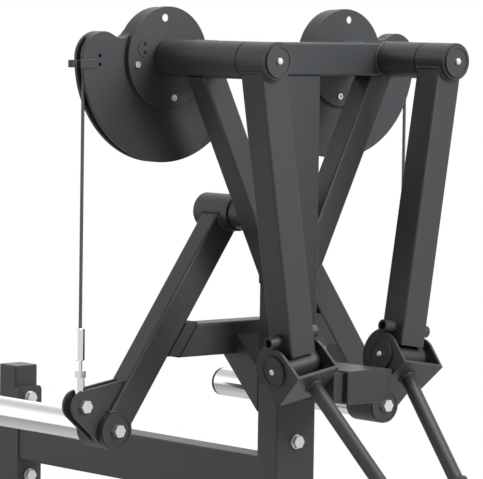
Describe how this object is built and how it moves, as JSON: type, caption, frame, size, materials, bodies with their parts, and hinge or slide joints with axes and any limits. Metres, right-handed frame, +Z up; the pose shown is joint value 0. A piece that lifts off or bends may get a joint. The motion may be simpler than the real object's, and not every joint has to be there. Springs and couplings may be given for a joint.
{
  "type": "lat pulldown machine",
  "caption": "Plate-loaded upright gym machine with two swinging arms, cable cams, weight levers with horns, fold-up handles, seat and thigh rollers.",
  "frame": {"origin": "on the floor, under the middle of the main post and of the floor frame", "axes": "+Z up, +Y away from the user towards the rear post, +X across the machine"},
  "size_m": [0.908, 1.59, 2.033],
  "materials": {
    "black_paint": "fine textured powder coat",
    "chrome": "polished",
    "zinc": "zinc plated",
    "steel": "ground",
    "steel_cable": "black coated wire rope",
    "rubber": "matte",
    "plastic": "satin",
    "vinyl": "grained vinyl over foam",
    "foam": "soft foam",
    "bronze": "sintered"
  },
  "bodies": {
    "frame": {"main_post": "black_paint", "crossbar": "black_paint", "pivot_housings": "black_paint", "pivot_bearings": "bronze", "diagonal_braces": "black_paint", "lever_axles": "black_paint", "axle_retainers": "zinc", "bumper_tube": "black_paint", "bumper_strut": "black_paint", "bumper_pads": "rubber", "arm_stop_bar": "black_paint", "arm_stop_pads": "rubber", "rear_beam": "black_paint", "rear_post": "black_paint", "frame_bolts": "zinc", "base_rail": "black_paint", "cross_feet": "black_paint", "foot_pads": "rubber", "end_caps": "plastic", "seat_post": "black_paint", "thigh_post": "black_paint"},
    "left_arm": {"left_swing_arm": "black_paint", "left_pivot_shaft": "steel", "left_arm_caps": "black_paint", "left_cam": "black_paint", "left_cam_flange": "black_paint", "left_cam_fasteners": "zinc", "left_cable_anchor": "black_paint"},
    "left_handle": {"left_handle_bracket": "black_paint", "left_bracket_pin": "zinc", "left_handle_rod": "black_paint", "left_hand_grip": "rubber"},
    "left_lever": {"left_lever": "black_paint", "left_weight_horn": "chrome", "left_lever_fittings": "zinc"},
    "left_cable_end": {"left_cable": "steel_cable", "left_cable_terminal": "chrome"},
    "right_arm": {"right_swing_arm": "black_paint", "right_pivot_shaft": "steel", "right_arm_caps": "black_paint", "right_cam": "black_paint", "right_cam_flange": "black_paint", "right_cam_fasteners": "zinc", "right_cable_anchor": "black_paint"},
    "right_handle": {"right_handle_bracket": "black_paint", "right_bracket_pin": "zinc", "right_handle_rod": "black_paint", "right_hand_grip": "rubber"},
    "right_lever": {"right_lever": "black_paint", "right_weight_horn": "chrome", "right_lever_fittings": "zinc"},
    "right_cable_end": {"right_cable": "steel_cable", "right_cable_terminal": "chrome"},
    "seat": {"seat_stem": "chrome", "seat_cushion": "vinyl"},
    "seat_pin": {"seat_pin": "plastic"},
    "thigh_rest": {"thigh_carriage": "black_paint"},
    "thigh_pin": {"thigh_pin": "plastic"},
    "left_roller": {"left_foam_roller": "foam"},
    "right_roller": {"right_foam_roller": "foam"}
  },
  "joints": [
    {"name": "left_arm_swing", "type": "hinge", "parent": "frame", "child": "left_arm", "pos_m": [-0.195, -0.1475, 1.95], "axis": [0, 1, 0], "range_deg": [0, 70]},
    {"name": "left_lever_swing", "type": "hinge", "parent": "frame", "child": "left_lever", "pos_m": [-0.055, 0.1015, 1.695], "axis": [0, 1, 0], "range_deg": [0, 33.3]},
    {"name": "left_cable_tilt", "type": "hinge", "parent": "left_lever", "child": "left_cable_end", "pos_m": [-0.355, 0.1015, 1.392], "axis": [0, 1, 0], "range_deg": [-15.7, 0], "deforming": ["left_cable"]},
    {"name": "left_handle_fold", "type": "hinge", "parent": "left_arm", "child": "left_handle", "pos_m": [-0.1165, -0.1475, 1.46532], "axis": [-0.9871, 0, -0.1599], "range_deg": [0, 55]},
    {"name": "right_arm_swing", "type": "hinge", "parent": "frame", "child": "right_arm", "pos_m": [0.195, -0.1475, 1.95], "axis": [0, -1, 0], "range_deg": [0, 70]},
    {"name": "right_lever_swing", "type": "hinge", "parent": "frame", "child": "right_lever", "pos_m": [0.055, 0.1015, 1.695], "axis": [0, -1, 0], "range_deg": [0, 33.3]},
    {"name": "right_cable_tilt", "type": "hinge", "parent": "right_lever", "child": "right_cable_end", "pos_m": [0.355, 0.1015, 1.392], "axis": [0, -1, 0], "range_deg": [-15.7, 0], "deforming": ["right_cable"]},
    {"name": "right_handle_fold", "type": "hinge", "parent": "right_arm", "child": "right_handle", "pos_m": [0.1165, -0.1475, 1.46532], "axis": [-0.9871, 0, 0.1599], "range_deg": [0, 55]},
    {"name": "seat_height", "type": "slide", "parent": "frame", "child": "seat", "axis": [0, 0, 1], "range_m": [0, 0.15]},
    {"name": "seat_pin_pull", "type": "slide", "parent": "frame", "child": "seat_pin", "axis": [0, -1, 0], "range_m": [0, 0.012], "stiffness_N_per_m": 900},
    {"name": "thigh_rest_height", "type": "slide", "parent": "frame", "child": "thigh_rest", "axis": [0, 0, 1], "range_m": [0, 0.12]},
    {"name": "thigh_pin_pull", "type": "slide", "parent": "frame", "child": "thigh_pin", "axis": [0, -1, 0], "range_m": [0, 0.012], "stiffness_N_per_m": 900},
    {"name": "left_roller_spin", "type": "hinge", "parent": "thigh_rest", "child": "left_roller", "pos_m": [-0.13, -0.325, 0.68], "axis": [1, 0, 0], "continuous": true},
    {"name": "right_roller_spin", "type": "hinge", "parent": "thigh_rest", "child": "right_roller", "pos_m": [0.13, -0.325, 0.68], "axis": [1, 0, 0], "continuous": true}
  ],
  "couplings": [
    {"joint": "left_lever_swing", "follows": "left_arm_swing", "ratio": 0.4748},
    {"joint": "left_cable_tilt", "follows": "left_arm_swing", "ratio": -0.2233},
    {"joint": "right_lever_swing", "follows": "right_arm_swing", "ratio": 0.4748},
    {"joint": "right_cable_tilt", "follows": "right_arm_swing", "ratio": -0.2233}
  ]
}
